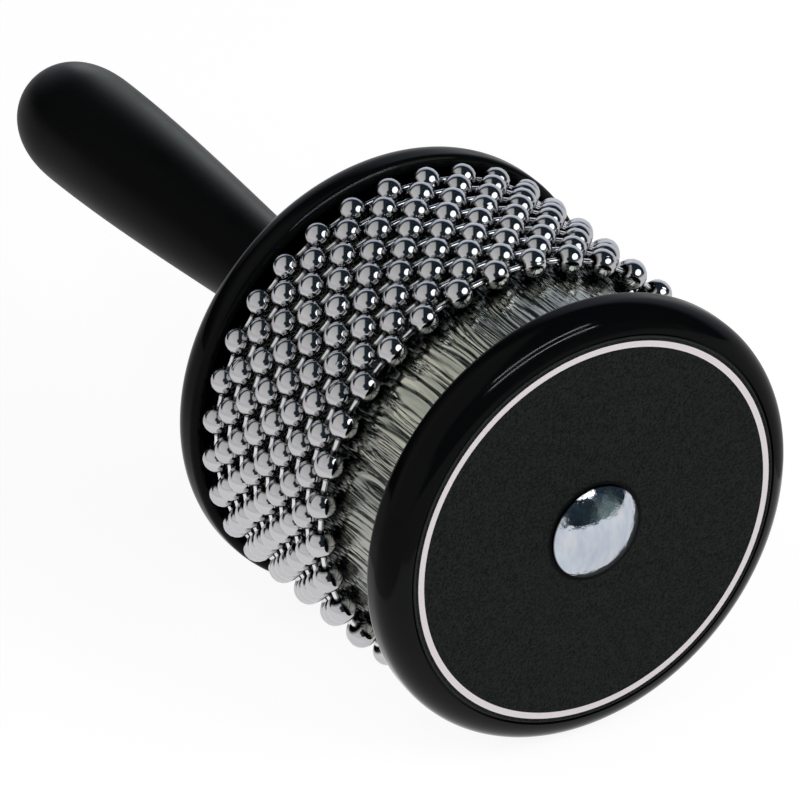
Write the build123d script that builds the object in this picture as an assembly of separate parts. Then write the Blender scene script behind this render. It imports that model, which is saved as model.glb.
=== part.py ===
from build123d import *
import math
import os

# Cabasa, in millimetres: loops of steel beads on a drum between two end caps, with a handle.
# X runs along the drum's axis towards the front, Z is up, and it lies on its two cap rims.

# End caps: moulded shells of one wall thickness, open towards the drum, with a hub inside
CAP_RADIUS = 50.8
CAP_DEPTH = 9.9
CAP_WALL = 2.5
RIM_ROUND = 6.5
LIP_ROUND = 0.8
HUB_RADIUS = 16.0
HUB_CLEARANCE = 0.15

# Face plate: a thin matte disc let into the front cap
PLATE_THICKNESS = 0.4
PLATE_MARGIN = 0.1
PLATE_GAP = 0.05

# Bead loops: endless ball chain, packed to the rear, the beads of each loop between the next one's
LOOP_COUNT = 9
BEAD_DIAMETER = 6.35
BEAD_WALL = 0.4
BEAD_GAP = 2.92
RIM_COVER = 0.325
LOOP_SLACK = 0.375
NEST_CLEARANCE = 0.54
PACK_CLEARANCE = 0.4
SLIDE_ROOM = 19.2
FIRST_BEAD_ANGLE = 4.7

# Links: wire dumbbells whose heads are caught inside the hollow beads
WIRE_DIAMETER = 1.6
WIRE_PLAY = 0.12
HEAD_CATCH = 0.15
HEAD_PLAY = 0.2
HEAD_THICKNESS = 0.8

# Sleeve: a thin steel sheet wrapped round the core, with a joggled lap seam along the drum
SHEET_THICKNESS = 0.3
SEAM_GAP = 0.1
SEAM_LAP = 6.0
SEAM_JOGGLE = 1.0
SEAM_ANGLE = 75.6
BOND_GAP = 0.05

# Carriage bolt: clamps the caps, the core and the handle together
BOLT_DIAMETER = 9.525
BOLT_CLEARANCE = 0.25
BOLT_REACH = 42.0
BOLT_TIP = 1.0
DOME_DIAMETER = 21.3
DOME_HEIGHT = 5.0
DOME_EDGE = 0.8
NECK_LENGTH = 6.0
NECK_SPARE = 2.1
NECK_CLEARANCE = 0.1

# Threaded insert in the handle's base
INSERT_WALL = 1.4
INSERT_LENGTH = 25.0
THREAD_CLEARANCE = 0.08

# Handle: a moulded grip that swells towards a round end
HANDLE_LENGTH = 135.5
HANDLE_BASE_WALL = 2.4
HANDLE_GRIP_RADIUS = 13.65
HANDLE_END_RADIUS = 13.15
HANDLE_SWELL_FROM_END = 20.0
HANDLE_BORE_SPARE = 4.0
SOCKET_DEPTH = 2.0
SOCKET_CLEARANCE = 0.15

# Radii from the caps inwards: beads just inside the rims, then the sleeve's lap, its sheet, the core
bead_radius = BEAD_DIAMETER / 2
loop_radius = CAP_RADIUS - RIM_COVER - bead_radius
lap_outer = loop_radius - bead_radius - LOOP_SLACK
lap_inner = lap_outer - SHEET_THICKNESS
sheet_outer = lap_inner - SEAM_GAP
sheet_inner = sheet_outer - SHEET_THICKNESS
core_radius = sheet_inner - BOND_GAP

# Radii from the bolt outwards
bolt_radius = BOLT_DIAMETER / 2
bolt_hole_radius = bolt_radius + BOLT_CLEARANCE
insert_radius = bolt_radius + THREAD_CLEARANCE + INSERT_WALL
handle_base_radius = insert_radius + BOND_GAP + HANDLE_BASE_WALL

# Each loop is a regular polygon of beads, and the pitch of the loops follows from how they nest
bead_count = round(2 * math.pi * loop_radius / (BEAD_DIAMETER + BEAD_GAP))
bead_step = 360 / bead_count
half_step = math.radians(bead_step / 2)
half_chord = loop_radius * math.sin(half_step)
loop_pitch = math.sqrt((BEAD_DIAMETER + NEST_CLEARANCE) ** 2 - half_chord ** 2)

# Lengths along X: the bolt's neck sets the hubs, and the packed loops with room to slide set the drum
cap_inside = CAP_DEPTH - CAP_WALL
hub_height = NECK_LENGTH + NECK_SPARE + PLATE_THICKNESS - CAP_WALL
pack_length = PACK_CLEARANCE + (LOOP_COUNT - 1) * loop_pitch + BEAD_DIAMETER
lip_gap = pack_length + SLIDE_ROOM
core_length = lip_gap + 2 * cap_inside

# Places along X, with the middle of the whole length at zero
ahead_of_front_lip = CAP_DEPTH - PLATE_THICKNESS + DOME_HEIGHT
behind_rear_lip = CAP_DEPTH - SOCKET_DEPTH + HANDLE_LENGTH
front_lip_x = (lip_gap + behind_rear_lip - ahead_of_front_lip) / 2
rear_lip_x = front_lip_x - lip_gap
core_front_x = front_lip_x + cap_inside
dome_seat_x = front_lip_x + CAP_DEPTH - PLATE_THICKNESS
handle_base_x = rear_lip_x - CAP_DEPTH + SOCKET_DEPTH
first_loop_x = rear_lip_x + PACK_CLEARANCE + bead_radius
axis_height = CAP_RADIUS


def turned(edges):
    """A solid turned about the X axis from a closed outline of (x, radius)."""
    return revolve(make_face(edges), Axis.X)


def bar(radius, start_x, end_x):
    """A round bar on the X axis."""
    corners = [(start_x, 0), (start_x, radius), (end_x, radius), (end_x, 0)]
    return turned(Polyline(*corners, close=True))


def cap():
    """One end cap with its lip at x = 0 and its outer face at x = CAP_DEPTH."""
    flat = CAP_RADIUS - RIM_ROUND
    round_x = CAP_DEPTH - RIM_ROUND
    inner_wall = CAP_RADIUS - CAP_WALL
    hub_x = cap_inside - hub_height
    hole = bolt_hole_radius
    return turned([
        Polyline((hub_x, HUB_RADIUS), (hub_x, hole), (CAP_DEPTH, hole), (CAP_DEPTH, flat)),
        CenterArc((round_x, flat), RIM_ROUND, 0, 90),
        Line((round_x, CAP_RADIUS), (LIP_ROUND, CAP_RADIUS)),
        CenterArc((LIP_ROUND, CAP_RADIUS - LIP_ROUND), LIP_ROUND, 90, 90),
        Polyline((0, CAP_RADIUS - LIP_ROUND), (0, inner_wall), (round_x, inner_wall)),
        CenterArc((round_x, flat), RIM_ROUND - CAP_WALL, 0, 90),
        Polyline((cap_inside, flat), (cap_inside, HUB_RADIUS), (hub_x, HUB_RADIUS)),
    ])


def front_cap():
    """The front cap, with the recess for the face plate and the square hole for the bolt's neck."""
    recess_radius = CAP_RADIUS - RIM_ROUND - PLATE_MARGIN
    recess = bar(recess_radius, CAP_DEPTH - PLATE_THICKNESS, CAP_DEPTH)
    side = BOLT_DIAMETER + 2 * NECK_CLEARANCE
    neck_hole = Pos(cap_inside, 0, 0) * Box(2 * CAP_DEPTH + 2 * hub_height, side, side)
    return cap() - recess - neck_hole


def rear_cap():
    """The rear cap, facing backwards, with the socket that the handle's base seats in."""
    socket = bar(handle_base_radius + SOCKET_CLEARANCE, CAP_DEPTH - SOCKET_DEPTH, CAP_DEPTH)
    return Rot(0, 0, 180) * (cap() - socket)


def face_plate():
    """The disc round the bolt's dome, with its back at x = 0."""
    outer = CAP_RADIUS - RIM_ROUND - PLATE_MARGIN - PLATE_GAP
    inner = DOME_DIAMETER / 2 + PLATE_GAP
    return bar(outer, 0, PLATE_THICKNESS) - bar(inner, 0, PLATE_THICKNESS)


def drum_core():
    """The bored core from x = -core_length to x = 0, with a counterbore for a hub at each end."""
    hub_hole = HUB_RADIUS + HUB_CLEARANCE
    hub_depth = hub_height + HUB_CLEARANCE
    core = bar(core_radius, -core_length, 0) - bar(bolt_hole_radius, -core_length, 0)
    core -= bar(hub_hole, -hub_depth, 0)
    core -= bar(hub_hole, -core_length, hub_depth - core_length)
    return core


def ring_sector(inner, outer, start, end):
    """A flat part of a ring about the X axis, between two angles from Y towards Z."""
    edges = [CenterArc((0, 0), radius, start, end - start) for radius in (inner, outer)]
    edges += [Line(edges[0] @ side, edges[1] @ side) for side in (0, 1)]
    return Plane.YZ * make_face(edges)


def along_sheet(length):
    """The angle that a length of the sheet takes up."""
    return math.degrees(length / sheet_outer)


def steel_sleeve():
    """The sheet from under its lap once round, then a joggle outwards and the lap over its start."""
    start = SEAM_ANGLE - along_sheet(SEAM_LAP)
    joggle = start - along_sheet(SEAM_JOGGLE)
    joggle_end = start - along_sheet(SEAM_GAP)
    flat = ring_sector(sheet_inner, sheet_outer, start, joggle + 360)
    step = ring_sector(sheet_inner, lap_outer, joggle, joggle_end)
    lap = ring_sector(lap_inner, lap_outer, joggle, SEAM_ANGLE)
    return extrude(flat + step + lap, amount=core_length, dir=(-1, 0, 0))


def carriage_bolt():
    """The bolt with its seat at x = 0: dome ahead of it, square neck and shank behind."""
    dome_radius = DOME_DIAMETER / 2
    end_x = handle_base_x - BOLT_REACH - dome_seat_x
    tip_radius = bolt_radius - BOLT_TIP
    outline = [
        Polyline((end_x, 0), (end_x, tip_radius), (end_x + BOLT_TIP, bolt_radius), (0, bolt_radius)),
        Polyline((0, bolt_radius), (0, dome_radius), (DOME_EDGE, dome_radius)),
        TangentArc((DOME_HEIGHT, 0), (DOME_EDGE, dome_radius), tangent=(0, 1)),
        Line((DOME_HEIGHT, 0), (end_x, 0)),
    ]
    neck = Pos(-NECK_LENGTH / 2, 0, 0) * Box(NECK_LENGTH, BOLT_DIAMETER, BOLT_DIAMETER)
    return turned(outline) + neck


def handle_insert():
    """The threaded tube that the bolt screws into, from x = 0 backwards."""
    thread = bar(bolt_radius + THREAD_CLEARANCE, -INSERT_LENGTH, 0)
    return bar(insert_radius, -INSERT_LENGTH, 0) - thread


def ease(start, end):
    """A curve that leaves and arrives along X, so that its neighbours join it smoothly."""
    third = (end[0] - start[0]) / 3
    return Bezier(start, (start[0] + third, start[1]), (end[0] - third, end[1]), end)


def handle():
    """The grip from its base at x = 0 back to its round end, bored for the bolt and the insert."""
    swell_x = HANDLE_SWELL_FROM_END - HANDLE_LENGTH
    round_x = HANDLE_END_RADIUS - HANDLE_LENGTH
    outline = [
        Line((0, 0), (0, handle_base_radius)),
        ease((0, handle_base_radius), (swell_x, HANDLE_GRIP_RADIUS)),
        ease((swell_x, HANDLE_GRIP_RADIUS), (round_x, HANDLE_END_RADIUS)),
        CenterArc((round_x, 0), HANDLE_END_RADIUS, 90, 90),
        Line((-HANDLE_LENGTH, 0), (0, 0)),
    ]
    pocket = bar(insert_radius + BOND_GAP, -INSERT_LENGTH - BOND_GAP, 0)
    bore = bar(bolt_hole_radius, -BOLT_REACH - HANDLE_BORE_SPARE, 0)
    return turned(outline) - pocket - bore


def bead(hole_radius):
    """A hollow steel bead with a hole at each end of its X axis."""
    inside = bead_radius - BEAD_WALL
    outer_x = math.sqrt(bead_radius ** 2 - hole_radius ** 2)
    inner_x = math.sqrt(inside ** 2 - hole_radius ** 2)
    return turned([
        ThreePointArc((-outer_x, hole_radius), (0, bead_radius), (outer_x, hole_radius)),
        Line((outer_x, hole_radius), (inner_x, hole_radius)),
        ThreePointArc((inner_x, hole_radius), (0, inside), (-inner_x, hole_radius)),
        Line((-inner_x, hole_radius), (-outer_x, hole_radius)),
    ])


def link(head_radius):
    """A wire link between two beads, middle at zero, with its heads inside the beads' walls."""
    wire = WIRE_DIAMETER / 2
    inside = bead_radius - BEAD_WALL - HEAD_PLAY
    head_x = half_chord - math.sqrt(inside ** 2 - head_radius ** 2)
    end_x = head_x + HEAD_THICKNESS
    half = [(head_x, wire), (head_x, head_radius), (end_x, head_radius), (end_x, 0)]
    other_half = [(-x, radius) for x, radius in reversed(half)]
    return turned(Polyline(*other_half, *half, close=True))


def round_the_loop(shape, x, radius, first_angle):
    """Copies of a shape at each bead step of a loop, with its X axis along the loop."""
    copies = []
    for k in range(bead_count):
        turn = Pos(0, 0, axis_height) * Rot(first_angle + k * bead_step, 0, 0)
        copies.append(turn * Pos(x, radius, 0) * Rot(0, -90, 0) * shape)
    return Compound(copies)


drum_parts = {
    "front_cap": (front_cap(), front_lip_x),
    "rear_cap": (rear_cap(), rear_lip_x),
    "face_plate": (face_plate(), dome_seat_x),
    "drum_core": (drum_core(), core_front_x),
    "steel_sleeve": (steel_sleeve(), core_front_x),
    "carriage_bolt": (carriage_bolt(), dome_seat_x),
    "handle": (handle(), handle_base_x),
    "handle_insert": (handle_insert(), handle_base_x),
}
parts = {name: Pos(x, 0, axis_height) * shape for name, (shape, x) in drum_parts.items()}

# A link lies at half a bead step to its beads' straight holes, so the holes leave room for that tilt
hole_radius = WIRE_DIAMETER / 2 + bead_radius * math.sin(half_step) + WIRE_PLAY
link_radius = loop_radius * math.cos(half_step)
one_bead = bead(hole_radius)
one_link = link(hole_radius + HEAD_CATCH)
for loop in range(LOOP_COUNT):
    x = first_loop_x + loop * loop_pitch
    first_angle = FIRST_BEAD_ANGLE + (loop % 2) * bead_step / 2
    beads = round_the_loop(one_bead, x, loop_radius, first_angle)
    links = round_the_loop(one_link, x, link_radius, first_angle + bead_step / 2)
    parts[f"bead_loop_{loop + 1}"] = beads
    parts[f"loop_links_{loop + 1}"] = links

os.makedirs("parts", exist_ok=True)
for name, shape in parts.items():
    export_step(shape, f"parts/{name}.step")
print(f"{bead_count} beads in a loop, loop pitch {loop_pitch:.3f}, gap between lips {lip_gap:.2f}")
print(f"core radius {core_radius:.2f}, handle base radius {handle_base_radius:.2f}, hub {hub_height:.2f}")
print(f"x of lips {rear_lip_x:.3f} {front_lip_x:.3f}, handle end {handle_base_x - HANDLE_LENGTH:.3f}")
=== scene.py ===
import math

import bpy
import numpy as np
from mathutils import Matrix, Vector

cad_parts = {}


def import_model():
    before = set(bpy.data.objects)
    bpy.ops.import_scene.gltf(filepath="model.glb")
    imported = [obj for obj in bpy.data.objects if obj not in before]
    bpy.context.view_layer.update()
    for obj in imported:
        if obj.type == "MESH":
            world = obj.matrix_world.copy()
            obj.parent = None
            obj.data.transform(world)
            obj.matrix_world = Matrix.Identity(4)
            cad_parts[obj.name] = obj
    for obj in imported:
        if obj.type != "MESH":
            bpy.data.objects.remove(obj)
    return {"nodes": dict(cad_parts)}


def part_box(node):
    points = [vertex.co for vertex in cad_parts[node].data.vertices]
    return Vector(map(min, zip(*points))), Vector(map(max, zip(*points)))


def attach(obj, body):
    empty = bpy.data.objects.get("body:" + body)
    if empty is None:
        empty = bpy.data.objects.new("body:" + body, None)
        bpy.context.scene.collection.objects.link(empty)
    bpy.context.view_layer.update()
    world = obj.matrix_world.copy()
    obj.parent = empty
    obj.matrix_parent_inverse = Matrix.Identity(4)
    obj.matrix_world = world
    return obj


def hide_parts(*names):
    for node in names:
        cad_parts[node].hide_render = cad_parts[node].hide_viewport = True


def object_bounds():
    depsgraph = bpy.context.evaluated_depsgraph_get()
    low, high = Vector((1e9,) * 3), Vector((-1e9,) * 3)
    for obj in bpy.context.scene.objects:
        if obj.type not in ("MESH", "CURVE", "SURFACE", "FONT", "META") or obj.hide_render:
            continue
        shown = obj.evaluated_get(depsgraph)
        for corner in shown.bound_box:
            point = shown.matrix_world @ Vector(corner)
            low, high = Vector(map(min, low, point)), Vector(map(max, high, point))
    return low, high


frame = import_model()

MM = 0.001
cad_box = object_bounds()

# Driving sizes that the frame's boxes don't give, in metres and degrees
BEAD_COUNT = 32
FIRST_BEAD_ANGLE = 4.7
LOOP_RADIUS = 47.3 * MM
BEAD_RADIUS = 3.175 * MM
BEAD_WALL = 0.4 * MM
BEAD_HOLE_RADIUS = 1.23 * MM
BEAD_LIP = 0.16 * MM
BEAD_SEAM_DEPTH = 0.05 * MM
BEAD_SEAM_HALF_ANGLE = 3.0
BEAD_SEGMENT_ANGLE = 18
BEAD_JITTER = 0.05 * MM
WIRE_RADIUS = 0.78 * MM
WIRE_WAIST = 0.76
LINK_HEAD_RADIUS = 1.38 * MM
LINK_HEAD_THICKNESS = 0.8 * MM
LINK_HEAD_FROM_BEAD = 2.1 * MM
LINK_EASE = 0.2 * MM
LINK_BORE = 0.1 * MM
LINK_JITTER = 0.02 * MM
LINK_SEGMENTS = 16
# Where the painted shade at the bead holes and at the link ends starts and where it is full
BEAD_SHADE_FROM, BEAD_SHADE_TO = 2.55 * MM, 2.85 * MM
LINK_SHADE_FROM, LINK_SHADE_TO = 0.9 * MM, 1.4 * MM

CAP_WALL = 2.5 * MM
RIM_ROUND = 6.5 * MM
LIP_ROUND = 1.5 * MM
HUB_RADIUS = 16.0 * MM
HUB_HEIGHT = 6.0 * MM
BOLT_HOLE_RADIUS = 5.01 * MM
SOCKET_DEPTH = 2.0 * MM
EDGE_BREAK = 0.15 * MM
CAP_SEGMENTS = 192

SEAM_ANGLE = 75.6
SEAM_LAP = 6.0 * MM
SEAM_JOGGLE = 1.0 * MM
SEAM_STEP = 0.2 * MM
SEAM_NUDGE = 1e-4
SHEET_RADIUS = 43.55 * MM
SHEET_BACK_GAP = 0.05 * MM
SHEET_COLUMNS = 1800
SHEET_ROWS_COVERED, SHEET_ROWS_BARE = 50, 45
CRINKLE_HEIGHT = 0.46 * MM
RIB_COUNT, RIB_WANDER = 118, 2.1
FINE_RIB_COUNT, FINE_RIB_WANDER, FINE_RIB_SHARE = 205, 3.2, 0.50
RIB_SHARPNESS = 0.42
BEND_CELLS, FADE_CELLS, FINE_CELLS, SWELL_CELLS = (110, 5), (150, 6), (520, 8), (60, 7)
RIB_HEIGHT_SHARE, FINE_HEIGHT_SHARE, SWELL_HEIGHT_SHARE = 0.72, 0.18, 0.10
# Where the painted shade under the loops gives way to the bare sheet, from the front of the loops
SHADE_UNDER_LOOPS_FROM, SHADE_UNDER_LOOPS_TO = -3 * MM, 1 * MM

RING_LINE_RADIUS = 43.15 * MM
RING_LINE_WIDTH = 1.4 * MM
RING_LINE_PROUD = 0.02 * MM
PLATE_RADIUS = 44.9 * MM
PLATE_EASE = 0.35 * MM
# Past this radius the plate's eased edge is drawn lighter: a painted highlight.
PLATE_SHEEN_RADIUS = 44.55 * MM
# Inside this radius the plate is darker: a painted shadow round the bolt's dome.
BOLT_SHADOW_RADIUS = 11.6 * MM
# Past this radius the dome's edge is darker: painted shade.
DOME_SHADE_RADIUS = 10.5 * MM
GROOVE_WIDTH = 0.3 * MM
GROOVE_DEPTH = 0.75 * MM

DOME_EDGE = 0.8 * MM
SHANK_RADIUS = 4.76 * MM
DOME_SEGMENTS = 96

HANDLE_BASE_RADIUS = 8.69 * MM
HANDLE_GRIP_RADIUS = 13.65 * MM
HANDLE_END_POWER = 2.4
HANDLE_SWELL_FROM_END = 20.0 * MM
HANDLE_SEGMENTS = 128

# Names of the values that meshes keep for their materials
REACH = "reach"
CREASE = "crease"

# Places from the frame
front_low, front_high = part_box("front_cap")
rear_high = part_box("rear_cap")[1]
plate_low, plate_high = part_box("face_plate")
sleeve_low, sleeve_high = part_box("steel_sleeve")
core_low, core_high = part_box("drum_core")
bolt_low, bolt_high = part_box("carriage_bolt")
handle_low, handle_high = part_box("handle")
axis_z = (front_low.z + front_high.z) / 2
cap_radius = (front_high.z - front_low.z) / 2
cap_depth = front_high.x - front_low.x
core_radius = (core_high.z - core_low.z) / 2
loop_names = sorted(name for name in frame["nodes"] if name.startswith("bead_loop_"))
loops_front = max(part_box(name)[1].x for name in loop_names)
bead_step = 2 * math.pi / BEAD_COUNT
random = np.random.default_rng(7)


# Mesh helpers

def new_piece(name, vertices, faces, material, sharp_angle=35):
    """A smooth-shaded mesh object with one material, at the origin of the row frame."""
    mesh = bpy.data.meshes.new(name)
    mesh.from_pydata([tuple(v) for v in vertices], [], [tuple(f) for f in faces])
    mesh.validate()
    mesh.shade_smooth()
    mesh.set_sharp_from_angle(angle=math.radians(sharp_angle))
    mesh.materials.append(material)
    piece = bpy.data.objects.new(name, mesh)
    bpy.context.scene.collection.objects.link(piece)
    return piece


def stand_for(piece, body, slot, *nodes):
    """Says which body a piece rides on and hides the nodes that it stands for; the slot is not used."""
    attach(piece, body)
    if nodes:
        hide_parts(*nodes)
    return piece


def keep_values(piece, name, values):
    """Keeps a value at each vertex for the piece's material."""
    layer = piece.data.attributes.new(name, "FLOAT", "POINT")
    layer.data.foreach_set("value", np.asarray(values, dtype=np.float32))


def arc(centre, radius, start, end, steps):
    """Points of (x, radius) on an arc, with angles in degrees from X towards the radius."""
    angles = np.radians(np.linspace(start, end, steps + 1))
    return [(centre[0] + radius * math.cos(a), centre[1] + radius * math.sin(a)) for a in angles]


def turned_mesh(profile, segments):
    """Vertices and faces of a closed profile of (x, radius) turned about the X axis.

    An anticlockwise profile gives outward faces, and a point on the axis gives one vertex.
    """
    vertices, index = [], {}
    for k in range(segments):
        turn = 2 * math.pi * k / segments
        for i, (x, radius) in enumerate(profile):
            if radius == 0 and k > 0:
                index[k, i] = index[0, i]
                continue
            index[k, i] = len(vertices)
            vertices.append((x, radius * math.cos(turn), radius * math.sin(turn)))
    faces = []
    for k in range(segments):
        n = (k + 1) % segments
        for i in range(len(profile)):
            j = (i + 1) % len(profile)
            corners = dict.fromkeys((index[k, i], index[k, j], index[n, j], index[n, i]))
            if len(corners) > 2:
                faces.append(tuple(corners))
    return np.array(vertices), faces


def turned_piece(name, profile, segments, material, sharp_angle=35):
    """A closed profile turned about the drum's axis."""
    vertices, faces = turned_mesh(profile, segments)
    vertices[:, 2] += axis_z
    return new_piece(name, vertices, faces, material, sharp_angle)


# Material helpers

def material_nodes(name, color, metallic=0.0, roughness=0.5):
    """A material with a Principled shader, its node tree and its object coordinates.

    A texture may replace the plain colour and roughness.
    """
    material = bpy.data.materials.new(name)
    material.use_nodes = True
    tree = material.node_tree
    shader = tree.nodes["Principled BSDF"]
    shader.inputs["Base Color"].default_value = (*color, 1)
    shader.inputs["Metallic"].default_value = metallic
    shader.inputs["Roughness"].default_value = roughness
    place = tree.nodes.new("ShaderNodeTexCoord").outputs["Object"]
    return material, tree, shader, place


def stretched(tree, place, scale):
    """The coordinates scaled along each axis."""
    mapping = tree.nodes.new("ShaderNodeMapping")
    mapping.inputs["Scale"].default_value = scale
    tree.links.new(place, mapping.inputs["Vector"])
    return mapping.outputs["Vector"]


def noise(tree, place, scale, detail=3.0, roughness=0.55):
    """A noise of 0 to 1, about 0.5 on average."""
    node = tree.nodes.new("ShaderNodeTexNoise")
    node.inputs["Scale"].default_value = scale
    node.inputs["Detail"].default_value = detail
    node.inputs["Roughness"].default_value = roughness
    tree.links.new(place, node.inputs["Vector"])
    return node.outputs["Fac"]


def remap(tree, value, low, high, from_low=0.0, from_high=1.0):
    """A value moved from one range to another, clamped."""
    node = tree.nodes.new("ShaderNodeMapRange")
    node.inputs["From Min"].default_value = from_low
    node.inputs["From Max"].default_value = from_high
    node.inputs["To Min"].default_value = low
    node.inputs["To Max"].default_value = high
    tree.links.new(value, node.inputs["Value"])
    return node.outputs["Result"]


def color_between(tree, value, low, high):
    """A colour that goes from low to high with a value of 0 to 1."""
    node = tree.nodes.new("ShaderNodeMix")
    node.data_type = "RGBA"
    node.inputs["A"].default_value = (*low, 1)
    node.inputs["B"].default_value = (*high, 1)
    tree.links.new(value, node.inputs["Factor"])
    return node.outputs["Result"]


def laid_over(tree, mask, below, above):
    """A colour laid over another by a mask."""
    node = tree.nodes.new("ShaderNodeMix")
    node.data_type = "RGBA"
    tree.links.new(mask, node.inputs["Factor"])
    tree.links.new(below, node.inputs["A"])
    tree.links.new(above, node.inputs["B"])
    return node.outputs["Result"]


def past_radius(tree, place, radius):
    """A mask that is 1 further than a radius from the drum's axis."""
    moved = tree.nodes.new("ShaderNodeVectorMath")
    moved.operation = "MULTIPLY_ADD"
    moved.inputs[1].default_value = (0, 1, 1)
    moved.inputs[2].default_value = (0, 0, -axis_z)
    tree.links.new(place, moved.inputs[0])
    length = tree.nodes.new("ShaderNodeVectorMath")
    length.operation = "LENGTH"
    tree.links.new(moved.outputs["Vector"], length.inputs[0])
    return remap(tree, length.outputs["Value"], 0, 1, radius - EDGE_BREAK / 2, radius + EDGE_BREAK / 2)


def stored(tree, name):
    """A value that the mesh keeps at each vertex."""
    node = tree.nodes.new("ShaderNodeAttribute")
    node.attribute_name = name
    return node.outputs["Fac"]


def bump(tree, shader, height, distance, strength=1.0, before=None):
    """A bump on the shader, after an earlier one if given."""
    node = tree.nodes.new("ShaderNodeBump")
    node.inputs["Distance"].default_value = distance
    node.inputs["Strength"].default_value = strength
    tree.links.new(height, node.inputs["Height"])
    if before is not None:
        tree.links.new(before, node.inputs["Normal"])
    tree.links.new(node.outputs["Normal"], shader.inputs["Normal"])
    return node.outputs["Normal"]


# Materials

def cap_plastic():
    """Polished black moulding with faint waviness and fine handling marks."""
    material, tree, shader, place = material_nodes("cap_plastic", (0.0018, 0.0019, 0.0020))
    shader.inputs["Specular IOR Level"].default_value = 0.065
    wear = noise(tree, place, 180, 5)
    tree.links.new(remap(tree, wear, 0.05, 0.16, 0.35, 0.75), shader.inputs["Roughness"])
    waves = bump(tree, shader, noise(tree, place, 90, 2), 0.00003, 0.5)
    bump(tree, shader, noise(tree, place, 2600, 2), 0.000006, 0.25, waves)
    return material


def face_plastic():
    """Matt dark grey with a fine leathery grain, a painted shadow round the bolt's dome and a painted
    highlight on its eased outer edge.
    """
    material, tree, shader, place = material_nodes("face_plastic", (0.009, 0.0105, 0.010), roughness=0.55)
    shader.inputs["Specular IOR Level"].default_value = 0.08
    grain = remap(tree, noise(tree, place, 2000, 2, 0.6), 0, 1, 0.35, 0.65)
    tint = color_between(tree, grain, (0.0030, 0.0036, 0.0034), (0.0186, 0.0206, 0.0199))
    # A lighter band on the eased outer edge is a painted highlight, its sheen line.
    wear_and_sheen = color_between(tree, noise(tree, place, 700, 4), (0.018, 0.021, 0.020), (0.050, 0.056, 0.053))
    # A darker disc round the bolt's dome is a painted shadow.
    painted_shade = color_between(tree, grain, (0.0008, 0.0010, 0.0010), (0.0030, 0.0034, 0.0032))
    tint = laid_over(tree, past_radius(tree, place, BOLT_SHADOW_RADIUS), painted_shade, tint)
    tint = laid_over(tree, past_radius(tree, place, PLATE_SHEEN_RADIUS), tint, wear_and_sheen)
    tree.links.new(tint, shader.inputs["Base Color"])
    tree.links.new(remap(tree, noise(tree, place, 260, 4), 0.45, 0.65), shader.inputs["Roughness"])
    bump(tree, shader, grain, 0.00015, 0.8)
    return material


def ring_ink():
    """Pale printed ink, a little uneven."""
    material, tree, shader, place = material_nodes("ring_ink", (0.86, 0.79, 0.81), roughness=0.5)
    tint = color_between(tree, noise(tree, place, 900, 3), (0.82, 0.75, 0.77), (0.90, 0.83, 0.85))
    tree.links.new(tint, shader.inputs["Base Color"])
    bump(tree, shader, noise(tree, place, 2600, 2), 0.00003, 0.4)
    return material


def handle_plastic():
    """Satin black moulding with a fine grain and a few smoother patches from the hand."""
    material, tree, shader, place = material_nodes("handle_plastic", (0.0010, 0.0013, 0.0011))
    shader.inputs["Specular IOR Level"].default_value = 0.06
    wear_and_sheen = noise(tree, place, 45, 4)
    tree.links.new(remap(tree, wear_and_sheen, 0.28, 0.40, 0.3, 0.7), shader.inputs["Roughness"])
    grain = noise(tree, place, 2200, 3, 0.6)
    bump(tree, shader, grain, 0.00006, 0.5)
    return material


def bead_plating():
    """Bright nickel plating: each bead a little different, with fine scuffs and painted shade round its
    holes.
    """
    material, tree, shader, place = material_nodes("bead_plating", (0.63, 0.63, 0.64), 1.0)
    each = tree.nodes.new("ShaderNodeNewGeometry").outputs["Random Per Island"]
    tint = color_between(tree, each, (0.60, 0.60, 0.61), (0.66, 0.655, 0.665))
    # Darker round the holes: painted shade where the links go in.
    painted_shade = color_between(tree, each, (0.06, 0.065, 0.065), (0.10, 0.10, 0.10))
    at_hole = remap(tree, stored(tree, REACH), 0, 1, BEAD_SHADE_FROM, BEAD_SHADE_TO)
    tree.links.new(laid_over(tree, at_hole, tint, painted_shade), shader.inputs["Base Color"])
    scuffs = noise(tree, place, 900, 5, 0.6)
    tree.links.new(remap(tree, scuffs, 0.05, 0.14, 0.35, 0.75), shader.inputs["Roughness"])
    bump(tree, shader, scuffs, 0.000012, 0.35)
    return material


def link_plating():
    """Bright nickel-plated wire with draw marks and painted shade at its ends, where they go into the beads.
    """
    material, tree, shader, place = material_nodes("link_plating", (0.76, 0.76, 0.77), 1.0)
    marks = noise(tree, place, 1500, 4)
    bright = color_between(tree, marks, (0.84, 0.84, 0.85), (0.94, 0.94, 0.94))
    # Darker towards the ends: painted shade inside the beads.
    painted_shade = color_between(tree, marks, (0.05, 0.055, 0.055), (0.09, 0.09, 0.09))
    at_end = remap(tree, stored(tree, REACH), 0, 1, LINK_SHADE_FROM, LINK_SHADE_TO)
    tree.links.new(laid_over(tree, at_end, bright, painted_shade), shader.inputs["Base Color"])
    tree.links.new(remap(tree, marks, 0.06, 0.15), shader.inputs["Roughness"])
    bump(tree, shader, marks, 0.00002, 0.3)
    return material


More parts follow.
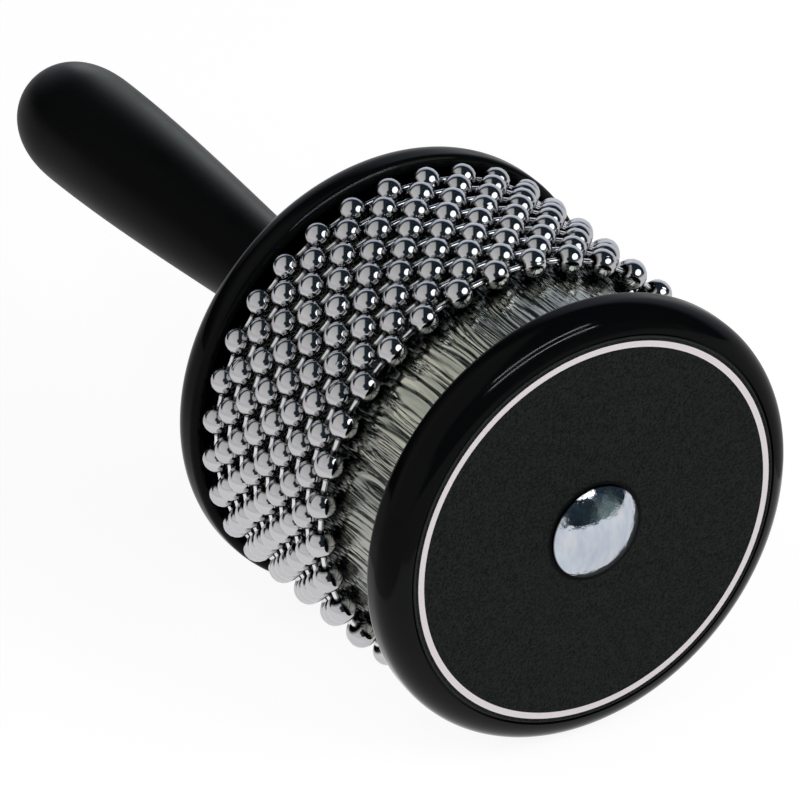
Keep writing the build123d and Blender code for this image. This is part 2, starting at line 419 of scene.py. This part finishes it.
def dome_chrome():
    """Chrome plating on a forged dome: slight dents under a bright finish, with painted shade at its outer
    edge.
    """
    material, tree, shader, place = material_nodes("dome_chrome", (0.68, 0.74, 0.82), 1.0)
    streaks = noise(tree, stretched(tree, place, (120, 420, 160)), 1.0, 4, 0.6)
    tint = color_between(tree, remap(tree, streaks, 0, 1, 0.3, 0.7), (0.62, 0.71, 0.83), (0.84, 0.87, 0.92))
    # The darker outer edge is painted shade.
    painted_shade = color_between(tree, streaks, (0.04, 0.045, 0.05), (0.30, 0.32, 0.34))
    tint = laid_over(tree, past_radius(tree, place, DOME_SHADE_RADIUS), tint, painted_shade)
    tree.links.new(tint, shader.inputs["Base Color"])
    scuffs = noise(tree, place, 500, 5, 0.6)
    tree.links.new(remap(tree, scuffs, 0.06, 0.20, 0.4, 0.75), shader.inputs["Roughness"])
    dents = bump(tree, shader, noise(tree, place, 240, 4, 0.6), 0.0005, 0.45)
    bump(tree, shader, scuffs, 0.00003, 0.3, dents)
    return material


def sleeve_steel():
    """Crinkled stainless sheet with fine rolling lines, dirt and painted shade in its creases, and painted
    shade under the loops.
    """
    material, tree, shader, place = material_nodes("sleeve_steel", (0.56, 0.58, 0.55), 1.0)
    along = stretched(tree, place, (60, 900, 900))
    lines = noise(tree, along, 1.0, 4, 0.6)
    tone = noise(tree, stretched(tree, place, (28, 330, 330)), 1.0, 3, 0.6)
    clean = color_between(tree, remap(tree, tone, 0, 1, 0.3, 0.7), (0.26, 0.285, 0.26), (0.56, 0.56, 0.49))
    # The creases are darker: partly dirt, partly painted shade.
    dirt_and_shade = color_between(tree, lines, (0.03, 0.038, 0.034), (0.09, 0.10, 0.09))
    clean = laid_over(tree, remap(tree, stored(tree, CREASE), 0, 1, 0.26, 0.58), clean, dirt_and_shade)
    # Darker under the loops: painted shade.
    shade_under_loops = color_between(tree, lines, (0.06, 0.065, 0.065), (0.12, 0.13, 0.125))
    split = tree.nodes.new("ShaderNodeSeparateXYZ")
    tree.links.new(place, split.inputs["Vector"])
    bare = remap(tree, split.outputs["X"], 0, 1, loops_front + SHADE_UNDER_LOOPS_FROM, loops_front + SHADE_UNDER_LOOPS_TO)
    tree.links.new(laid_over(tree, bare, shade_under_loops, clean), shader.inputs["Base Color"])
    tree.links.new(remap(tree, lines, 0.08, 0.16), shader.inputs["Roughness"])
    bump(tree, shader, lines, 0.00003, 0.5)
    return material


def core_wood():
    """Plain turned wood with grain along the drum."""
    material, tree, shader, place = material_nodes("core_wood", (0.45, 0.31, 0.18), roughness=0.6)
    grain = noise(tree, stretched(tree, place, (40, 600, 600)), 1.0, 5, 0.65)
    tint = color_between(tree, grain, (0.36, 0.23, 0.12), (0.55, 0.40, 0.25))
    tree.links.new(tint, shader.inputs["Base Color"])
    bump(tree, shader, grain, 0.0001, 0.4)
    return material


def insert_brass():
    """Turned brass with tool marks."""
    material, tree, shader, place = material_nodes("insert_brass", (0.70, 0.52, 0.24), 1.0)
    marks = noise(tree, stretched(tree, place, (3000, 200, 200)), 1.0, 3)
    tree.links.new(remap(tree, marks, 0.22, 0.4), shader.inputs["Roughness"])
    bump(tree, shader, marks, 0.00003, 0.4)
    return material


# End caps

def cap_profile(lip_x, outward, first_angle):
    """The section of one cap from its lip towards its outer face, as (x, radius)."""
    inside = cap_depth - CAP_WALL
    flat = cap_radius - RIM_ROUND
    round_x = cap_depth - RIM_ROUND
    hub_x = inside - HUB_HEIGHT
    lip = (LIP_ROUND, cap_radius - LIP_ROUND)
    points = [(hub_x, HUB_RADIUS), (hub_x, BOLT_HOLE_RADIUS)]
    points += outward
    points += arc((round_x, flat), RIM_ROUND, first_angle, 90, 24)
    points += arc(lip, LIP_ROUND, 90, 180, 6)
    points += arc((EDGE_BREAK, cap_radius - CAP_WALL + EDGE_BREAK), EDGE_BREAK, 180, 270, 3)
    points += arc((round_x, flat), RIM_ROUND - CAP_WALL, 90, 0, 10)
    points += [(inside, HUB_RADIUS)]
    return [(lip_x + x, radius) for x, radius in points]


def front_cap(material):
    """The front cap, open in front for the face plate."""
    recess = plate_low.x - front_low.x
    groove = PLATE_RADIUS + GROOVE_WIDTH
    first_angle = math.degrees(math.asin((groove + EDGE_BREAK - cap_radius + RIM_ROUND) / RIM_ROUND))
    outward = [(recess, BOLT_HOLE_RADIUS), (recess, PLATE_RADIUS)]
    outward += [(cap_depth - GROOVE_DEPTH, PLATE_RADIUS), (cap_depth - GROOVE_DEPTH, groove)]
    outward += [(cap_depth - 2 * EDGE_BREAK, groove)]
    profile = cap_profile(front_low.x, outward, first_angle)
    piece = turned_piece("front_cap_shell", profile, CAP_SEGMENTS, material)
    return stand_for(piece, "drum", "cap_black", "front_cap")


def rear_cap(material):
    """The rear cap, facing backwards, with the socket for the handle."""
    socket = HANDLE_BASE_RADIUS + EDGE_BREAK
    outward = [(cap_depth - SOCKET_DEPTH, BOLT_HOLE_RADIUS), (cap_depth - SOCKET_DEPTH, socket)]
    outward += [(cap_depth - EDGE_BREAK, socket), (cap_depth, socket + EDGE_BREAK)]
    profile = [(rear_high.x - x, radius) for x, radius in cap_profile(0, outward, 3)]
    piece = turned_piece("rear_cap_shell", profile[::-1], CAP_SEGMENTS, material)
    return stand_for(piece, "drum", "cap_black", "rear_cap")


# Face plate, ring line and bolt

def face_plate(material):
    """The matt disc with eased edges."""
    inner = (bolt_high.z - bolt_low.z) / 2 + EDGE_BREAK / 3
    outer = PLATE_RADIUS - EDGE_BREAK / 3
    low, high = plate_low.x, plate_high.x
    profile = [(low, inner), (high - EDGE_BREAK, inner), (high, inner + EDGE_BREAK)]
    profile += arc((high - PLATE_EASE, outer - PLATE_EASE), PLATE_EASE, 0, 90, 5)
    profile += [(low, outer)]
    piece = turned_piece("face_plate_disc", profile, CAP_SEGMENTS, material, 30)
    return stand_for(piece, "drum", "face_matte", "face_plate")


def ring_line(material):
    """The printed ring, a film that lies on the plate."""
    inner = RING_LINE_RADIUS - RING_LINE_WIDTH / 2
    outer = RING_LINE_RADIUS + RING_LINE_WIDTH / 2
    low, high = plate_high.x - RING_LINE_PROUD, plate_high.x + RING_LINE_PROUD
    profile = [(low, inner), (high, inner), (high, outer), (low, outer)]
    piece = turned_piece("face_ring_line", profile, CAP_SEGMENTS, material)
    return stand_for(piece, "drum", "face_matte")


def dome_bolt(material):
    """The bolt's dome, with its shank inside the drum."""
    radius = (bolt_high.z - bolt_low.z) / 2
    seat = plate_low.x
    rise = bolt_high.x - seat - DOME_EDGE
    ball = (radius ** 2 + rise ** 2) / (2 * rise)
    reach = math.degrees(math.asin(radius / ball))
    profile = [(bolt_low.x, 0), (bolt_low.x, SHANK_RADIUS - MM), (bolt_low.x + MM, SHANK_RADIUS)]
    profile += [(seat, SHANK_RADIUS), (seat, radius)]
    profile += arc((bolt_high.x - ball, 0), ball, reach, 0, 28)
    piece = turned_piece("dome_bolt", profile[::-1], DOME_SEGMENTS, material)
    return stand_for(piece, "drum", "bolt_chrome", "carriage_bolt")


# Handle

def handle_grip(material):
    """The grip: a smooth swell from the base, then a round end that closes without a visible edge."""
    base_x, end_x = handle_high.x, handle_low.x
    swell_x = end_x + HANDLE_SWELL_FROM_END
    profile = [(base_x, 0)]
    for t in np.linspace(0, 1, 61):
        blend = 3 * t ** 2 - 2 * t ** 3
        radius = HANDLE_BASE_RADIUS + (HANDLE_GRIP_RADIUS - HANDLE_BASE_RADIUS) * blend
        profile.append((base_x + (swell_x - base_x) * t, radius))
    for turn in np.radians(np.linspace(0, 90, 40)[1:-1]):
        out = math.sin(turn) ** (2 / HANDLE_END_POWER)
        up = math.cos(turn) ** (2 / HANDLE_END_POWER)
        profile.append((swell_x - HANDLE_SWELL_FROM_END * out, HANDLE_GRIP_RADIUS * up))
    profile.append((end_x, 0))
    piece = turned_piece("handle_grip", profile, HANDLE_SEGMENTS, material)
    return stand_for(piece, "drum", "handle_black", "handle")


# Sleeve

def wrapped_noise(around, along, around_cells, along_cells):
    """Smooth random heights of -1 to 1 on a sheet that closes on itself; both places run from 0 to 1."""
    lattice = random.uniform(-1, 1, (around_cells, along_cells + 3))
    u, v = around * around_cells, along * along_cells
    i, j = np.floor(u).astype(int), np.clip(np.floor(v).astype(int), 0, along_cells)
    s, t = u - i, np.clip(v - j, 0, 1)
    s, t = s * s * (3 - 2 * s), t * t * (3 - 2 * t)

    def corner(di, dj):
        return lattice[(i + di) % around_cells, j + dj]

    near = corner(0, 0) * (1 - s) + corner(1, 0) * s
    far = corner(0, 1) * (1 - s) + corner(1, 1) * s
    return near * (1 - t) + far * t


def creases(around, along, count, wander):
    """How creased a sheet is, from 0 to 1: lines along the drum that wander and fade."""
    bend = wrapped_noise(around, along, *BEND_CELLS)
    fade = wrapped_noise(around, along, *FADE_CELLS)
    wave = np.abs(np.sin(math.pi * count * around + wander * bend))
    return np.clip((1 - wave ** RIB_SHARPNESS) * (0.8 + 0.7 * fade), 0, 1)


def crinkles(around, along):
    """Heights of -1 to 1 of ribs along the drum, and how creased they are."""
    coarse = creases(around, along, RIB_COUNT, RIB_WANDER)
    slight = creases(around, along, FINE_RIB_COUNT, FINE_RIB_WANDER)
    crease = np.maximum(coarse, FINE_RIB_SHARE * slight)
    fine = wrapped_noise(around, along, *FINE_CELLS)
    swells = wrapped_noise(around, along, *SWELL_CELLS)
    height = RIB_HEIGHT_SHARE * (1 - 2 * crease) + FINE_HEIGHT_SHARE * fine + SWELL_HEIGHT_SHARE * swells
    return np.clip(height, -1, 1), crease


def sheet_grid():
    """Turns and runs of the sheet's points, from the seam round and from the rear to the front."""
    angles = math.radians(SEAM_ANGLE) - np.linspace(0, 2 * math.pi, SHEET_COLUMNS, endpoint=False)
    angles[0] -= SEAM_NUDGE
    bare_from = (loops_front - sleeve_low.x) / (sleeve_high.x - sleeve_low.x)
    along = np.concatenate([np.linspace(0, bare_from, SHEET_ROWS_COVERED, endpoint=False),
                            np.linspace(bare_from, 1, SHEET_ROWS_BARE)])
    return np.meshgrid(angles, along)


def seam_lap(turn):
    """How much the sheet is lifted over its own seam, from 0 to 1."""
    behind_edge = (math.radians(SEAM_ANGLE) - turn) * SHEET_RADIUS
    lap = np.clip((SEAM_LAP + SEAM_JOGGLE - behind_edge) / SEAM_JOGGLE, 0, 1)
    return lap * lap * (3 - 2 * lap)


def around_axis(x, radius, turn):
    """Points by their place along the drum's axis, their radius and their turn about it."""
    x, radius, turn = np.broadcast_arrays(x, radius, turn)
    return np.stack([x, radius * np.cos(turn), axis_z + radius * np.sin(turn)], -1).reshape(-1, 3)


def sheet_faces(rows, columns):
    """Faces of the sheet's rows, of both its ends and of its plain back."""
    low_ring, high_ring = rows * columns, (rows + 1) * columns
    end = (rows - 1) * columns
    faces = []
    for k in range(columns):
        n = (k + 1) % columns
        for row in range(rows - 1):
            a, b = row * columns, (row + 1) * columns
            faces.append((b + k, b + n, a + n, a + k))
        faces.append((low_ring + k, k, n, low_ring + n))
        faces.append((high_ring + n, end + n, end + k, high_ring + k))
        faces.append((low_ring + n, high_ring + n, high_ring + k, low_ring + k))
    return faces


def sleeve_sheet(material):
    """The crinkled sheet with its lap seam, closed inside by a plain back."""
    low, high = sleeve_low.x, sleeve_high.x
    turn, run = sheet_grid()
    height, crease = crinkles((turn / (2 * math.pi)) % 1.0, run)
    lap = seam_lap(turn)
    radius = SHEET_RADIUS + height * (1 - lap / 2) * CRINKLE_HEIGHT / 2 + lap * SEAM_STEP
    outer = around_axis(low + (high - low) * run, radius, turn)
    back = [around_axis(end_x, core_radius + SHEET_BACK_GAP, turn[0]) for end_x in (low, high)]
    vertices = np.concatenate([outer, *back])
    piece = new_piece("sleeve_sheet", vertices, sheet_faces(*turn.shape), material, 60)
    keep_values(piece, CREASE, np.concatenate([crease.ravel(), np.zeros(2 * SHEET_COLUMNS)]))
    return stand_for(piece, "drum", "sleeve_steel", "steel_sleeve")


# Bead loops

def bead_mesh():
    """One hollow bead with holes along X, eased hole edges and a fine pressed seam."""
    inside = BEAD_RADIUS - BEAD_WALL
    lip_angle = math.degrees(math.asin((BEAD_HOLE_RADIUS + BEAD_LIP) / BEAD_RADIUS))
    inner_angle = math.degrees(math.asin(BEAD_HOLE_RADIUS / inside))
    lip_x = BEAD_RADIUS * math.cos(math.radians(lip_angle)) - BEAD_LIP / 2
    profile = arc((0, 0), BEAD_RADIUS, lip_angle, 180 - lip_angle, 18)
    outside = len(profile)
    profile += [(-lip_x, BEAD_HOLE_RADIUS)]
    profile += arc((0, 0), inside, 180 - inner_angle, inner_angle, 6)
    profile += [(lip_x, BEAD_HOLE_RADIUS)]
    plain = list(range(BEAD_SEGMENT_ANGLE, 360, BEAD_SEGMENT_ANGLE))
    around = [-BEAD_SEAM_HALF_ANGLE, 0.0, BEAD_SEAM_HALF_ANGLE, *plain]
    depth = [0.0, BEAD_SEAM_DEPTH, 0.0] + [0.0] * len(plain)
    vertices, faces = [], []
    count = len(profile)
    for turn, groove in zip(np.radians(around), depth):
        for i, (x, radius) in enumerate(profile):
            drawn = radius - (groove if i < outside else 0)
            vertices.append((x, drawn * math.cos(turn), drawn * math.sin(turn)))
    for k in range(len(around)):
        here, there = k * count, ((k + 1) % len(around)) * count
        for i in range(count):
            j = (i + 1) % count
            faces.append((here + i, here + j, there + j, there + i))
    return np.array(vertices), np.array(faces)


def link_mesh():
    """One wire link along X with a head at each end, a little thicker towards its heads."""
    half_chord = LOOP_RADIUS * math.sin(bead_step / 2)
    head_x = half_chord - LINK_HEAD_FROM_BEAD
    end_x = head_x + LINK_HEAD_THICKNESS
    eased = LINK_HEAD_RADIUS - LINK_EASE
    half = [(0.0, WIRE_WAIST * WIRE_RADIUS), (0.35 * head_x, 0.80 * WIRE_RADIUS), (0.9 * head_x, WIRE_RADIUS)]
    half += [(head_x, 1.2 * WIRE_RADIUS), (head_x, eased), (head_x + LINK_EASE, LINK_HEAD_RADIUS)]
    half += [(end_x - LINK_EASE, LINK_HEAD_RADIUS), (end_x, eased), (end_x, LINK_BORE)]
    profile = [(-x, radius) for x, radius in half[:0:-1]] + half
    vertices, faces = turned_mesh(profile, LINK_SEGMENTS)
    clockwise = np.array(faces)
    return vertices, clockwise[:, ::-1]


def round_the_loop(name, mesh, x, radius, first_angle, jitter, material):
    """Copies of a mesh at each bead step of a loop, its X axis along the loop."""
    vertices, faces = mesh
    all_vertices, all_faces = [], []
    for k in range(BEAD_COUNT):
        angle = first_angle + k * bead_step
        spin = Matrix.Rotation(random.uniform(0, 2 * math.pi), 4, "X")
        nudge = Matrix.Translation(Vector(random.uniform(-jitter, jitter, 3)))
        out = Matrix.Translation((x, radius, 0))
        place = Matrix.Translation((0, 0, axis_z)) @ Matrix.Rotation(angle, 4, "X") @ out
        place = np.array(place @ nudge @ Matrix.Rotation(math.pi / 2, 4, "Y") @ spin)
        all_faces.append(faces + k * len(vertices))
        all_vertices.append(vertices @ place[:3, :3].T + place[:3, 3])
    piece = new_piece(name, np.concatenate(all_vertices), np.concatenate(all_faces).tolist(), material, 40)
    keep_values(piece, REACH, np.tile(np.abs(vertices[:, 0]), BEAD_COUNT))
    return piece


def bead_loops(bead_material, link_material):
    """The nested loops, each with its beads and links on the loop's own body."""
    beads, links = bead_mesh(), link_mesh()
    link_radius = LOOP_RADIUS * math.cos(bead_step / 2)
    for loop, node in enumerate(loop_names, 1):
        low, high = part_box(node)
        x = (low.x + high.x) / 2
        first = math.radians(FIRST_BEAD_ANGLE) + (loop % 2 == 0) * bead_step / 2
        piece = round_the_loop(f"beads_{loop}", beads, x, LOOP_RADIUS, first, BEAD_JITTER, bead_material)
        stand_for(piece, f"loop_{loop}", "bead_nickel", node)
        between = first + bead_step / 2
        wires = round_the_loop(f"links_{loop}", links, x, link_radius, between, LINK_JITTER, link_material)
        stand_for(wires, f"loop_{loop}", "link_nickel", f"loop_links_{loop}")


# Studio

CAMERA_AZIMUTH = math.radians(57.08)
CAMERA_ELEVATION = math.radians(30.95)
CAMERA_SHIFT = (-36.85 * MM, 24.26 * MM, 2358.7 * MM)
AIM_FROM_FACE = 6.9 * MM
LENS = 508.7
SENSOR = 36.0
CAMERA_REACH = 30
CAMERA_RIGHT = Vector((math.cos(CAMERA_AZIMUTH), math.sin(CAMERA_AZIMUTH), 0))
CAMERA_BACK = Vector((math.sin(CAMERA_AZIMUTH) * math.cos(CAMERA_ELEVATION),
                      -math.cos(CAMERA_AZIMUTH) * math.cos(CAMERA_ELEVATION), math.sin(CAMERA_ELEVATION)))
CAMERA_UP = CAMERA_BACK.cross(CAMERA_RIGHT)


def camera():
    """The photograph's view: right, up and back from a point on the axis in the front cap."""
    data = bpy.data.cameras.new("camera")
    data.lens = LENS
    data.sensor_width = SENSOR
    data.clip_end = CAMERA_REACH
    view = bpy.data.objects.new("camera", data)
    bpy.context.scene.collection.objects.link(view)
    aim = Vector((front_high.x - AIM_FROM_FACE, 0, axis_z))
    aim += CAMERA_RIGHT * CAMERA_SHIFT[0] + CAMERA_UP * CAMERA_SHIFT[1] + CAMERA_BACK * CAMERA_SHIFT[2]
    turn = Matrix((CAMERA_RIGHT, CAMERA_UP, CAMERA_BACK)).transposed()
    view.matrix_world = Matrix.Translation(aim) @ turn.to_4x4()
    bpy.context.scene.camera = view


def toward(azimuth, elevation):
    """A direction in the row frame, azimuth from X towards Y, in degrees."""
    a, e = math.radians(azimuth), math.radians(elevation)
    return Vector((math.cos(a) * math.cos(e), math.sin(a) * math.cos(e), math.sin(e)))


def area_lamp(name, place, aim, width, height, radiance, color=(1, 1, 1), shape="RECTANGLE"):
    """A flat lamp at a place, facing a point, its width level."""
    data = bpy.data.lights.new(name, "AREA")
    data.shape = shape
    data.size, data.size_y = width, height
    filled = math.pi / 4 if shape == "ELLIPSE" else 1
    data.energy = radiance * math.pi * width * height * filled
    data.color = color
    lamp = bpy.data.objects.new(name, data)
    bpy.context.scene.collection.objects.link(lamp)
    out = (place - aim).normalized()
    lamp.matrix_world = Matrix.Translation(place) @ out.to_track_quat("Z", "Y").to_matrix().to_4x4()
    return lamp


def light_only(lamp, *pieces):
    """Limits a lamp to some pieces."""
    receivers = bpy.data.collections.new(f"lit_by_{lamp.name}")
    for piece in pieces:
        receivers.objects.link(piece)
    lamp.light_linking.receiver_collection = receivers


def light_all_but(lamp, *pieces):
    """Spares some pieces from a lamp."""
    spared = bpy.data.collections.new(f"not_lit_by_{lamp.name}")
    for piece in pieces:
        spared.objects.link(piece)
    for member in spared.collection_objects:
        member.light_linking.link_state = "EXCLUDE"
    lamp.light_linking.receiver_collection = spared


DRUM_MIDDLE_X = 0.065
COOL, BLUISH, GREENISH, WARM = (0.97, 0.99, 1.0), (0.88, 0.95, 1.0), (0.90, 1.0, 0.95), (1.0, 0.97, 0.88)

# Each lamp: azimuth and elevation from its aim in degrees, distance, width and height in metres, radiance
RIGHT_LAMP = (33, 37, 1.1, 1.05, 0.76, 1.95)
LOW_STRIP = (11, 41, 1.2, 0.95, 0.045, 50.0)
HIGH_STRIP = (11, 55, 1.2, 0.95, 0.045, 50.0)
DOME_CARD = (5, 45, 1.2, 0.75, 0.20, 4.0)
GRIP_CARD = (138, 13, 1.2, 0.8, 0.45, 1.6)
SLEEVE_CARD = (-152, 32, 1.2, 1.1, 0.65, 0.5)
FRONT_FILL = (-8, 22, 1.3, 0.9, 0.9, 1.5)
RIM_CARD_WIDTH, RIM_CARD_RADIANCE = 0.24, 0.8


def lamp_facing(name, aim, lamp, color=(1, 1, 1), shape="RECTANGLE"):
    """A lamp placed by the direction and distance from the point that it faces."""
    azimuth, elevation, distance, width, height, radiance = lamp
    place = aim + toward(azimuth, elevation) * distance
    return area_lamp(name, place, aim, width, height, radiance, color, shape)


def lamps(front, rear, dome, grip, sheet):
    """A lamp on the right and a fill in front, strips for the caps, and cards for single pieces."""
    drum = Vector((DRUM_MIDDLE_X, 0, axis_z))
    rim = Vector((front_high.x, 0, front_high.z))
    light_all_but(lamp_facing("right_lamp", drum, RIGHT_LAMP, COOL, "ELLIPSE"), front, dome)
    light_only(lamp_facing("low_strip", rim, LOW_STRIP, BLUISH), front, rear)
    light_only(lamp_facing("high_strip", rim, HIGH_STRIP, BLUISH), front, rear)
    light_only(lamp_facing("dome_card", rim, DOME_CARD), dome)
    light_only(lamp_facing("grip_card", drum, GRIP_CARD, GREENISH), grip)
    light_only(lamp_facing("sleeve_card", drum, SLEEVE_CARD, WARM), sheet)
    under = Vector((front_high.x, 0, front_low.z))
    bounce = area_lamp("rim_card", under, rim, RIM_CARD_WIDTH, RIM_CARD_WIDTH, RIM_CARD_RADIANCE)
    bounce.visible_camera = False
    light_only(bounce, front)
    lamp_facing("front_fill", drum, FRONT_FILL).visible_glossy = False


def light_path(tree):
    """What kind of ray meets the surface."""
    return tree.nodes.new("ShaderNodeLightPath").outputs


# Where the parts of the set fade in, as cosines from fixed directions, and their colours
WALL_LEAN = math.radians(15)
WALL_FADE = (0.26, 0.44)
WALL_FOOT = (0.25, 0.50)
BACKDROP_FADE = (0.60, 0.90)
WALL_BLUE, BACKDROP_WHITE = (0.56, 0.60, 0.71), (0.94, 0.97, 1.0)
SCREEN_RIGHT = (0.0, 0.08)
SCREEN_TOP = (0.75, 0.61)
SCREEN_FAR = (-0.14, 0.06)
SCREEN_LOW = (-0.45, -0.30)
SCREEN_FALLOFF = (-0.8, 0.6)
SCREEN_BRIGHT, SCREEN_DIM = (0.76, 0.74, 0.75), (0.46, 0.465, 0.455)
CAMERA_SPOT = (0.995, 0.985)
PATCH_WAY = (35, 0)
PATCH_FADE = (0.80, 0.98)
PATCH_DARK, PATCH_PALE = (0.11, 0.15, 0.14), (0.45, 0.50, 0.48)
ROOM_DARK, ROOM_BLUE = (0.010, 0.014, 0.018), (0.045, 0.088, 0.125)


def facing(tree, way, axis, start, end):
    """A mask that goes from 0 to 1 as a direction turns towards an axis."""
    node = tree.nodes.new("ShaderNodeVectorMath")
    node.operation = "DOT_PRODUCT"
    node.inputs[1].default_value = axis
    tree.links.new(way, node.inputs[0])
    return remap(tree, node.outputs["Value"], 0, 1, start, end)


def halfway(tree, way, axis):
    """The direction halfway between a direction and an axis."""
    total = tree.nodes.new("ShaderNodeVectorMath")
    total.operation = "ADD"
    total.inputs[1].default_value = axis
    tree.links.new(way, total.inputs[0])
    unit = tree.nodes.new("ShaderNodeVectorMath")
    unit.operation = "NORMALIZE"
    tree.links.new(total.outputs["Vector"], unit.inputs[0])
    return unit.outputs["Vector"]


def product(tree, first, second):
    """Two masks multiplied."""
    node = tree.nodes.new("ShaderNodeMath")
    node.operation = "MULTIPLY"
    tree.links.new(first, node.inputs[0])
    tree.links.new(second, node.inputs[1])
    return node.outputs["Value"]


def dark_room_with_wall(tree, way, blotches):
    """The dark blotchy room, with a bluish wall that turns white right behind the object."""
    wall_axis = CAMERA_UP * math.cos(WALL_LEAN) + CAMERA_RIGHT * math.sin(WALL_LEAN)
    wall = facing(tree, way, -CAMERA_BACK, *WALL_FADE)
    wall = product(tree, wall, facing(tree, way, wall_axis, *WALL_FOOT))
    backdrop = facing(tree, way, -CAMERA_BACK, *BACKDROP_FADE)
    room = color_between(tree, blotches, ROOM_DARK, ROOM_BLUE)
    return laid_over(tree, wall, room, color_between(tree, backdrop, WALL_BLUE, BACKDROP_WHITE))


def screen_over(tree, way, shade):
    """The pale screen on the left, with a dark spot where the camera stood."""
    half = halfway(tree, way, CAMERA_BACK)
    screen = facing(tree, half, -CAMERA_RIGHT, *SCREEN_RIGHT)
    screen = product(tree, screen, facing(tree, half, CAMERA_UP, *SCREEN_TOP))
    screen = product(tree, screen, facing(tree, way, CAMERA_BACK, *SCREEN_FAR))
    screen = product(tree, screen, facing(tree, half, CAMERA_UP, *SCREEN_LOW))
    screen = product(tree, screen, facing(tree, half, CAMERA_BACK, *CAMERA_SPOT))
    falloff = facing(tree, half, CAMERA_RIGHT + CAMERA_UP, *SCREEN_FALLOFF)
    return laid_over(tree, screen, shade, color_between(tree, falloff, SCREEN_BRIGHT, SCREEN_DIM))


def patch_over(tree, way, blotches, shade):
    """A soft greenish patch low on the right."""
    patch = facing(tree, way, toward(*PATCH_WAY), *PATCH_FADE)
    return laid_over(tree, product(tree, patch, patch), shade,
                     color_between(tree, blotches, PATCH_DARK, PATCH_PALE))


def world():
    """White to the camera. Everything else sees a set: a dark room with a wall, a screen and a patch."""
    scene_world = bpy.data.worlds.new("world")
    bpy.context.scene.world = scene_world
    scene_world.use_nodes = True
    tree = scene_world.node_tree
    way = tree.nodes.new("ShaderNodeTexCoord").outputs["Generated"]
    blotches = remap(tree, noise(tree, way, 9, 4, 0.6), 0, 1, 0.5, 0.75)
    shade = dark_room_with_wall(tree, way, blotches)
    shade = screen_over(tree, way, shade)
    shade = patch_over(tree, way, blotches, shade)
    background = tree.nodes["Background"]
    tree.links.new(shade, background.inputs["Color"])
    white = tree.nodes.new("ShaderNodeBackground")
    white.inputs["Color"].default_value = (1, 1, 1, 1)
    mix = tree.nodes.new("ShaderNodeMixShader")
    tree.links.new(light_path(tree)["Is Camera Ray"], mix.inputs["Fac"])
    tree.links.new(background.outputs["Background"], mix.inputs[1])
    tree.links.new(white.outputs["Background"], mix.inputs[2])
    tree.links.new(mix.outputs["Shader"], tree.nodes["World Output"].inputs["Surface"])


FLOOR_HALF = 6.0
FLOOR_DROP = 0.02 * MM
FLOOR_GREY = (0.30, 0.30, 0.30)
FLOOR_GLOW = (1.0, 0.99, 1.0)
GLOW_TO_CAMERA, GLOW_NEAR, GLOW_FAR = 0.88, 0.68, 0.52
GLOW_PLACE = (0.03, -0.10, 0)
GLOW_RADII = (0.08, 0.15)


def floor_material():
    """Pale, white to the camera apart from the soft shadow, and brightest beside the drum."""
    material = bpy.data.materials.new("floor")
    material.use_nodes = True
    tree = material.node_tree
    tree.nodes.remove(tree.nodes["Principled BSDF"])
    diffuse = tree.nodes.new("ShaderNodeBsdfDiffuse")
    diffuse.inputs["Color"].default_value = (*FLOOR_GREY, 1)
    glow = tree.nodes.new("ShaderNodeEmission")
    glow.inputs["Color"].default_value = (*FLOOR_GLOW, 1)
    distance = tree.nodes.new("ShaderNodeVectorMath")
    distance.operation = "DISTANCE"
    distance.inputs[1].default_value = GLOW_PLACE
    tree.links.new(tree.nodes.new("ShaderNodeTexCoord").outputs["Object"], distance.inputs[0])
    strength = remap(tree, distance.outputs["Value"], GLOW_NEAR, GLOW_FAR, *GLOW_RADII)
    mix = tree.nodes.new("ShaderNodeMix")
    mix.inputs["B"].default_value = GLOW_TO_CAMERA
    tree.links.new(light_path(tree)["Is Camera Ray"], mix.inputs["Factor"])
    tree.links.new(strength, mix.inputs["A"])
    tree.links.new(mix.outputs["Result"], glow.inputs["Strength"])
    add = tree.nodes.new("ShaderNodeAddShader")
    tree.links.new(diffuse.outputs["BSDF"], add.inputs[0])
    tree.links.new(glow.outputs["Emission"], add.inputs[1])
    tree.links.new(add.outputs["Shader"], tree.nodes["Material Output"].inputs["Surface"])
    return material


def floor():
    """A wide floor just under the rims that the part lies on."""
    level = cad_box[0].z - FLOOR_DROP
    signs = [(-1, -1), (1, -1), (1, 1), (-1, 1)]
    mesh = bpy.data.meshes.new("floor")
    mesh.from_pydata([(x * FLOOR_HALF, y * FLOOR_HALF, level) for x, y in signs], [], [(0, 1, 2, 3)])
    mesh.materials.append(floor_material())
    plane = bpy.data.objects.new("floor", mesh)
    bpy.context.scene.collection.objects.link(plane)


def dress(node, material):
    """Gives a node that keeps its own shape a material."""
    mesh = frame["nodes"][node].data
    mesh.materials.clear()
    mesh.materials.append(material)


cap_material = cap_plastic()
front = front_cap(cap_material)
rear = rear_cap(cap_material)
dome = dome_bolt(dome_chrome())
face_plate(face_plastic())
ring_line(ring_ink())
grip = handle_grip(handle_plastic())
sheet = sleeve_sheet(sleeve_steel())
bead_loops(bead_plating(), link_plating())
dress("drum_core", core_wood())
dress("handle_insert", insert_brass())

camera()
lamps(front, rear, dome, grip, sheet)
world()
floor()
bpy.context.scene.view_settings.view_transform = "Standard"
